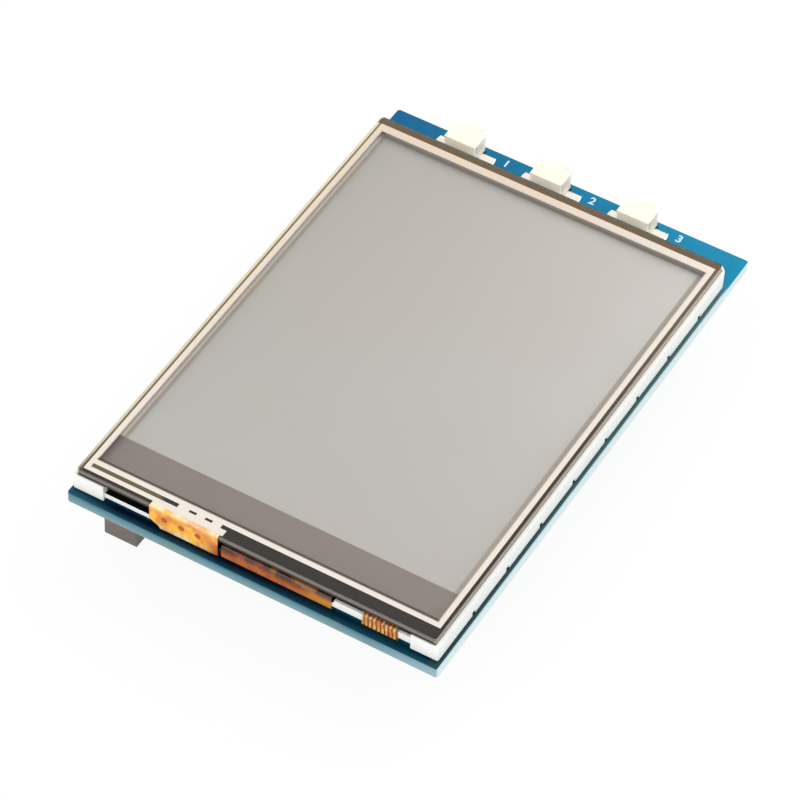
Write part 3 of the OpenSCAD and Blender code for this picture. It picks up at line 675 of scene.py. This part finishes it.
def clear_sheet(name, side_colour, tint, gloss_rough, shine):
    """Clear sheet, see-through but for its outer cut edges, which side_colour paints by place."""
    made, tree, out = shader(name)
    place, xyz = millimetres(tree)
    through = put(tree, "BsdfTransparent", {"Color": tint})
    mirror = put(tree, "BsdfGlossy", {"Color": (1, 1, 1, 1), "Roughness": gloss_rough})
    back = put(tree, "NewGeometry").outputs["Backfacing"]
    front = maths(tree, "SUBTRACT", 1.0, back)
    share = times(tree, times(tree, put(tree, "Fresnel", {"IOR": 1.46}).outputs[0], front), shine)
    face = put(tree, "MixShader", {0: share, 1: through.outputs[0], 2: mirror.outputs[0]})
    side = put(tree, "BsdfPrincipled", {"Base Color": side_colour(tree, place, xyz), "Roughness": 0.4})
    inner = times(tree, between(tree, xyz[0], west + 0.5, east - 0.5),
                  between(tree, xyz[1], south + 0.05, north - 0.05))
    see_through = maths(tree, "MAXIMUM", facing_up(tree), inner)
    done = put(tree, "MixShader", {0: see_through, 1: side.outputs[0], 2: face.outputs[0]})
    tree.links.new(done.outputs[0], out.inputs[0])
    return made


def at_sides(tree, xyz, near, left, right, far):
    """A colour for each of the touch panel's four cut edges."""
    colour = blend_colour(tree, climb(tree, xyz[0], east - 0.3, east - 0.2), near, right)
    colour = blend_colour(tree, climb(tree, xyz[0], west + 0.3, west + 0.2), colour, left)
    return blend_colour(tree, climb(tree, xyz[1], north - 0.1, north - 0.05), colour, far)


def ground_edge(tree, place, xyz):
    """Ground glass edge: in front its lower half is painted dark as shade, light brown at both sides, brown
    at the far end.
    """
    streak = grain(tree, place, 1.2, 3.0)
    upper = blend_colour(tree, streak, tone(108, 100, 94), tone(136, 128, 120))
    # Painted shade: the lower half of the front edge is dark.
    lower = blend_colour(tree, streak, tone(14, 13, 12), tone(32, 29, 27))
    middle_z = (glass_lo.z + glass_hi.z) / 2 * 1000
    near = blend_colour(tree, climb(tree, xyz[2], middle_z - 0.1, middle_z + 0.1), lower, upper)
    right = colour_along(tree, xyz[1], [(south, tone(140, 130, 116)), (north, tone(170, 156, 138))])
    left = colour_along(tree, xyz[1], [(south + 4, tone(150, 140, 122)), (north, tone(206, 194, 162))])
    return at_sides(tree, xyz, near, left, right, tone(128, 108, 80))


def film_edge(tree, place, xyz):
    """Cut edge of the film: grey brown in front, paler at the sides, brown at the far end."""
    near = blend_colour(tree, grain(tree, place, 1.2, 3.0), tone(104, 95, 86), tone(130, 120, 110))
    return at_sides(tree, xyz, near, tone(206, 197, 164), tone(150, 139, 123), tone(120, 98, 70))


dress("touch_glass", clear_sheet("touch glass", ground_edge, (0.98, 0.98, 0.975, 1), 0.1, 0.4))
dress("touch_film", clear_sheet("hard-coated film", film_edge, (0.99, 0.985, 0.98, 1), 0.28, 0.85))

ring_lo, ring_hi = (corner * 1000 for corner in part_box("silver_ring"))
glue, tree, out = shader("brown adhesive")
place, xyz = millimetres(tree)
streak = grain(tree, place, 0.8, 4.0)
band = blend_colour(tree, streak, tone(24, 20, 16), tone(38, 33, 26))
by_lead = times(tree, climb(tree, xyz[0], *lead_at), climb(tree, xyz[1], south + 0.6, south + 0.8))
band = blend_colour(tree, by_lead, band, tone(94, 84, 62))
halfway = (south + north) / 2
# Painted shade and light: the right and left bands are darker at the near end and lighter towards the far
# end, and the outer left strip is painted pale as a highlight.
right = colour_along(tree, xyz[1], [(south, tone(28, 20, 8)), (halfway, tone(56, 45, 28)),
                                    (north, tone(106, 92, 74))])
left = colour_along(tree, xyz[1], [(south, tone(64, 55, 38)), (south + 8, tone(100, 90, 67)),
                                   (north, tone(126, 114, 82))])
outer_left_highlight = colour_along(tree, xyz[1], [(south, tone(150, 140, 116)), (south + 6, tone(216, 207, 180)),
                                         (north, tone(232, 224, 196))])
left = blend_colour(tree, climb(tree, xyz[0], ring_lo.x - 0.26, ring_lo.x - 0.38), left, outer_left_highlight)
band = blend_colour(tree, climb(tree, xyz[0], ring_hi.x - 0.1, ring_hi.x), band, right)
band = blend_colour(tree, climb(tree, xyz[0], ring_lo.x + 0.1, ring_lo.x), band, left)
far = blend_colour(tree, streak, tone(90, 68, 40), tone(108, 85, 52))
far = blend_colour(tree, climb(tree, xyz[1], north - 0.36, north - 0.12), far, tone(76, 96, 102))
band = blend_colour(tree, climb(tree, xyz[1], ring_hi.y - 0.1, ring_hi.y), band, far)
line_width, band_width = 0.68, 2.78
within = times(tree, between(tree, xyz[0], ring_lo.x + line_width, ring_hi.x - line_width),
               between(tree, xyz[1], south + band_width, ring_hi.y - line_width))
beyond_band = climb(tree, xyz[1], south + band_width + 0.32, south + band_width + 0.62)
lining = blend_colour(tree, beyond_band, tone(136, 126, 118), tone(186, 176, 165))
band = blend_colour(tree, within, band, lining)
surface(tree, out, band, 0.6, relief(tree, streak, 0.1), Specular_IOR_Level=0.05)
laid("touch_adhesive", glue)

silver, tree, out = shader("printed silver line")
place, xyz = millimetres(tree)
speckle = grain(tree, place, 4.0, 5.0)
ink = colour_along(tree, xyz[1], [(south, tone(228, 221, 212)), (halfway, tone(224, 212, 198)),
                                  (north, tone(219, 204, 186))])
ink = blend_colour(tree, climb(tree, xyz[0], (west + east) / 2, east), ink, tone(226, 219, 210))
ink = blend_colour(tree, 0.12, ink, speckle, "MULTIPLY")
surface(tree, out, ink, 0.5, relief(tree, grain(tree, place, 12.0), 0.2))
laid("silver_ring", silver)

# ---------------------------------------------------------------------------
# Flexible circuits. Amber film with copper tracks inside: the display's wide
# one, the backlight's narrow striped tail, and the touch panel's orange tail.
# Painted shade darkens the first two towards the glass, and a painted highlight lightens all at the lower
# fold.
# ---------------------------------------------------------------------------


def flexible(name, stops, clouds, copper, pitch, share, strength, painted_light_patch=None):
    """Film coloured by its height above the board, with painted shade and highlights in its stops, and in
    clouds, over tracks that run down its fold.
    """
    made, tree, out = shader(name)
    place, xyz = millimetres(tree)
    height = maths(tree, "SUBTRACT", xyz[2], board_top)
    film = colour_along(tree, height, stops)
    for scale, colour, much in clouds:
        cloud = climb(tree, grain(tree, place, scale, 3.0), 0.48, 0.60)
        film = blend_colour(tree, times(tree, cloud, much), film, colour)
    # The patch given here is painted light or shade over part of the film.
    if painted_light_patch:
        patch_mask = times(tree, climb(tree, xyz[0], *painted_light_patch[0]), climb(tree, height, *painted_light_patch[1]))
        film = blend_colour(tree, patch_mask, film, painted_light_patch[2])
    wander = times(tree, grain(tree, place, 0.6, 1.0), 0.35)
    step = maths(tree, "DIVIDE", maths(tree, "ADD", xyz[0], wander), pitch)
    saw = maths(tree, "FRACT", step)
    line = between(tree, saw, 0.5 - share / 2, 0.5 + share / 2, 0.08)
    skin = blend_colour(tree, times(tree, line, strength), film, copper)
    surface(tree, out, skin, 0.4, relief(tree, line, 0.3), Coat_Weight=0.1, Coat_Roughness=0.2)
    return made


lead_right, tail_right = lead_hi.x * 1000, tail_hi.x * 1000
# Painted shade near the glass and a painted highlight at the lower fold; the patch is painted lighter on the
# display circuit and painted shade on the touch tail.
dress("display_flex", flexible(
    "amber film", [(0.1, tone(216, 164, 128)), (0.35, tone(206, 138, 94)), (0.7, tone(200, 106, 50)),
                   (1.15, tone(172, 92, 34)), (1.55, tone(108, 58, 22)), (2.0, tone(58, 28, 8))],
    [(0.3, tone(170, 56, 44), 0.4), (0.5, tone(214, 134, 40), 0.35)], tone(126, 60, 30), 0.62, 0.4, 0.1,
    painted_light_patch=((lead_right - 5.0, lead_right - 1.0), (2.2, 1.2), tone(206, 138, 48))))
dress("led_flex", flexible(
    "striped amber film", [(0.15, tone(236, 180, 104)), (0.6, tone(240, 170, 78)), (1.4, tone(224, 142, 60)),
                           (2.2, tone(160, 92, 40))],
    [(0.9, tone(226, 100, 30), 0.6), (1.5, tone(250, 210, 124), 0.55)], tone(96, 44, 16), 0.6, 0.42, 0.85))
dress("touch_tail", flexible(
    "orange film", [(0.2, tone(250, 228, 176)), (0.8, tone(252, 218, 152)), (1.4, tone(250, 186, 68)),
                    (2.2, tone(242, 156, 36)), (3.0, tone(228, 144, 36)), (3.5, tone(228, 158, 66)),
                    (3.8, tone(248, 206, 146)), (3.95, tone(247, 222, 180))],
    [(0.4, tone(214, 112, 18), 0.6), (0.62, tone(255, 204, 56), 0.6)], tone(222, 126, 26), 2.5, 0.16, 0.3,
    painted_light_patch=((tail_right - 2.4, tail_right - 0.4), (3.0, 2.0), tone(176, 88, 28))))

spots = grained("brown eyelet", 6.0, 3.0, (150, 66, 8), (188, 98, 18), 0.4)
shape = bmesh.new()
for x in (14.4, 17.0, 19.5):
    centre = Vector((spot(x, 0).x, tail_lo.y - 0.00001, spot(0, 0, 2.3).z))
    turned = Matrix.Translation(centre) @ Matrix.Rotation(math.radians(90), 4, "X")
    bmesh.ops.create_cone(shape, cap_ends=True, segments=20, radius1=0.00050, radius2=0.00036,
                          depth=0.00003, matrix=turned)
bmesh.ops.recalc_face_normals(shape, faces=shape.faces)
mesh = bpy.data.meshes.new("eyelets")
shape.to_mesh(mesh)
shape.free()
piece("tail_eyelets", mesh, spots)

# ---------------------------------------------------------------------------
# Keys. Ivory housing with a thin tinned lid folded over its sides, an ivory
# button that slides towards the board's middle, and two tinned terminals,
# each held by solder that climbs round its foot.
# ---------------------------------------------------------------------------
ivory = grained("ivory moulding", 0.8, 4.0, (244, 235, 212), (250, 244, 229), 0.45, 16.0)

tinned, tree, out = shader("tinned sheet")
place = millimetres(tree)[0]
drawn = put(tree, "Mapping", {"Vector": place, "Scale": (1.0, 14.0, 14.0)}).outputs[0]
brushed = grain(tree, drawn, 1.0, 4.0)
surface(tree, out, blend_colour(tree, brushed, tone(226, 221, 206), tone(240, 235, 222)), 0.5,
        relief(tree, brushed, 0.15), Metallic=0.15)

fillet_tree, add, given = growth_tree("solder fillet", ("Length", "Width", "Height", "Toe"))


def reckon(way, a, b, c=0.0):
    """The result of one operation in the fillet's tree."""
    return add("ShaderNodeMath", {0: a, 1: b, 2: c}, operation=way).outputs[0]


block = add("GeometryNodeMeshCube", {"Size": (1, 1, 1), "Vertices X": 5, "Vertices Y": 5, "Vertices Z": 5})
parts = add("ShaderNodeSeparateXYZ", {0: add("GeometryNodeInputPosition").outputs[0]}).outputs
level = reckon("ADD", parts[2], 0.5)
hollow = reckon("POWER", reckon("SUBTRACT", 1.0, level), 2.2)
spread = reckon("MULTIPLY", reckon("MULTIPLY", hollow, given["Toe"]), 2.0)
far_x = reckon("ADD", given["Length"], spread)
far_y = reckon("ADD", given["Width"], spread)
round_x = reckon("MULTIPLY_ADD", reckon("MULTIPLY", parts[1], parts[1]), -0.6, 1.0)
moved = add("ShaderNodeCombineXYZ", {0: reckon("MULTIPLY", reckon("MULTIPLY", parts[0], far_x), round_x),
                                     1: reckon("MULTIPLY", parts[1], far_y),
                                     2: reckon("MULTIPLY", level, given["Height"])})
fillet = add("GeometryNodeSetPosition", {"Geometry": block.outputs[0], "Position": moved.outputs[0]})
set_out(add, given, fillet.outputs[0])


def mirrored_below(made):
    """Turns a piece grown upwards from the board's lower face to hang from it."""
    made.data.transform(Matrix.Translation((0, 0, 2 * below)) @ Matrix.Scale(-1, 4, (0, 0, 1)))
    made.data.flip_normals()


foot_places = []
for number in (1, 2, 3):
    eased(f"key_{number}_base", 0.07, ivory)
    eased(f"key_{number}_lid", 0.05, tinned)
    eased(f"key_{number}_button", 0.12, ivory, f"button_{number}")
    dress(f"key_{number}_dome", tinned)
    eased(f"key_{number}_terminals", 0.04, tinned)
    lid_lo, lid_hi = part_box(f"key_{number}_lid")
    feet_from, feet_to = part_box(f"key_{number}_terminals")
    for outer, inner in ((feet_from.x, lid_lo.x), (feet_to.x, lid_hi.x)):
        foot_places.append(((outer + inner) / 2, (feet_from.y + feet_to.y) / 2, board_hi.z))
grown("key_solder", foot_places, fillet_tree, {"Length": 1.9, "Width": 1.7, "Height": 0.12, "Toe": 0.22}, tin)

# ---------------------------------------------------------------------------
# Pin socket. Brown-black moulding and spacer strip, with gold plated contacts
# whose feet are soldered to the board's lower face.
# ---------------------------------------------------------------------------
black = grained("black moulding", 1.5, 4.0, (100, 90, 83), (118, 108, 100), 0.5, 12.0, 0.15)
eased("socket_body", 0.1, black)
eased("socket_riser", 0.1, black)
dress("socket_contacts", grained("gold plate", 2.0, 3.0, (214, 172, 96), (238, 204, 132), 0.28, Metallic=1.0))
foot_in = 0.0007
foot_places = []
for y in pin_rows:
    foot_places.append((feet_lo.x + foot_in, y, below))
    foot_places.append((feet_hi.x - foot_in, y, below))
mirrored_below(grown("socket_solder", foot_places, fillet_tree,
                     {"Length": 1.3, "Width": 0.62, "Height": 0.21, "Toe": 0.2}, tin))

# ---------------------------------------------------------------------------
# Small parts under the board. Touch controller and transistor in black resin
# with tinned leads, resistors with a black top and plain brown capacitors,
# each with tinned ends and solder.
# ---------------------------------------------------------------------------
resin = grained("black resin", 5.0, 5.0, (34, 34, 35), (50, 50, 51), 0.65, 20.0, 0.2)
eased("touch_controller", 0.12, resin)
eased("transistor", 0.12, resin)
eased("resistors", 0.05, resin)
for node in ("controller_leads", "transistor_leads"):
    dress(node, tinned)
clay = grained("brown ceramic", 4.0, 3.0, (168, 134, 96), (190, 158, 118), 0.5)
eased("capacitors", 0.05, clay)

leads_lo, leads_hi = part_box("controller_leads")
lead_count, lead_width, lead_in = 8, 0.00024, 0.00028
lead_step = (leads_hi.y - leads_lo.y - lead_width) / (lead_count - 1)
foot_places = []
for i in range(lead_count):
    for x in (leads_lo.x + lead_in, leads_hi.x - lead_in):
        foot_places.append((x, leads_lo.y + lead_width / 2 + i * lead_step, below))
mirrored_below(grown("controller_solder", foot_places, fillet_tree,
                     {"Length": 0.6, "Width": 0.2, "Height": 0.14, "Toe": 0.09}, tin))

caps = bmesh.new()
foot_places = []


def end_cap(lo, hi):
    """A thin tinned cap over one end of a small part, standing a little proud of it."""
    proud = 0.00002
    centre = (lo + hi) / 2
    size = hi - lo + Vector((2 * proud, 2 * proud, proud))
    place = Matrix.Translation(centre - Vector((0, 0, proud / 2))) @ Matrix.Diagonal((*size, 1))
    bmesh.ops.create_cube(caps, size=1.0, matrix=place)
    foot_places.append((centre.x, centre.y, below))


part_width, resistor_count, capacitor_count = 0.0008, 5, 4
lo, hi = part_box("resistors")
depth = 0.0003
for i in range(resistor_count):
    x = lo.x + i * (hi.x - lo.x - part_width) / (resistor_count - 1)
    for y in (lo.y, hi.y - depth):
        end_cap(Vector((x, y, lo.z)), Vector((x + part_width, y + depth, hi.z)))
lo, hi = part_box("capacitors")
depth = 0.00035
for i in range(capacitor_count):
    y = lo.y + i * (hi.y - lo.y - part_width) / (capacitor_count - 1)
    for x in (lo.x, hi.x - depth):
        end_cap(Vector((x, y, lo.z)), Vector((x + depth, y + part_width, hi.z)))
mesh = bpy.data.meshes.new("end_caps")
caps.to_mesh(mesh)
caps.free()
ends = piece("end_caps", mesh, tin)
soft = ends.modifiers.new("eased edges", "BEVEL")
soft.width = 0.00006
soft.segments = 2
mirrored_below(grown("end_solder", foot_places, fillet_tree,
                     {"Length": 0.5, "Width": 0.5, "Height": 0.16, "Toe": 0.3}, tin))
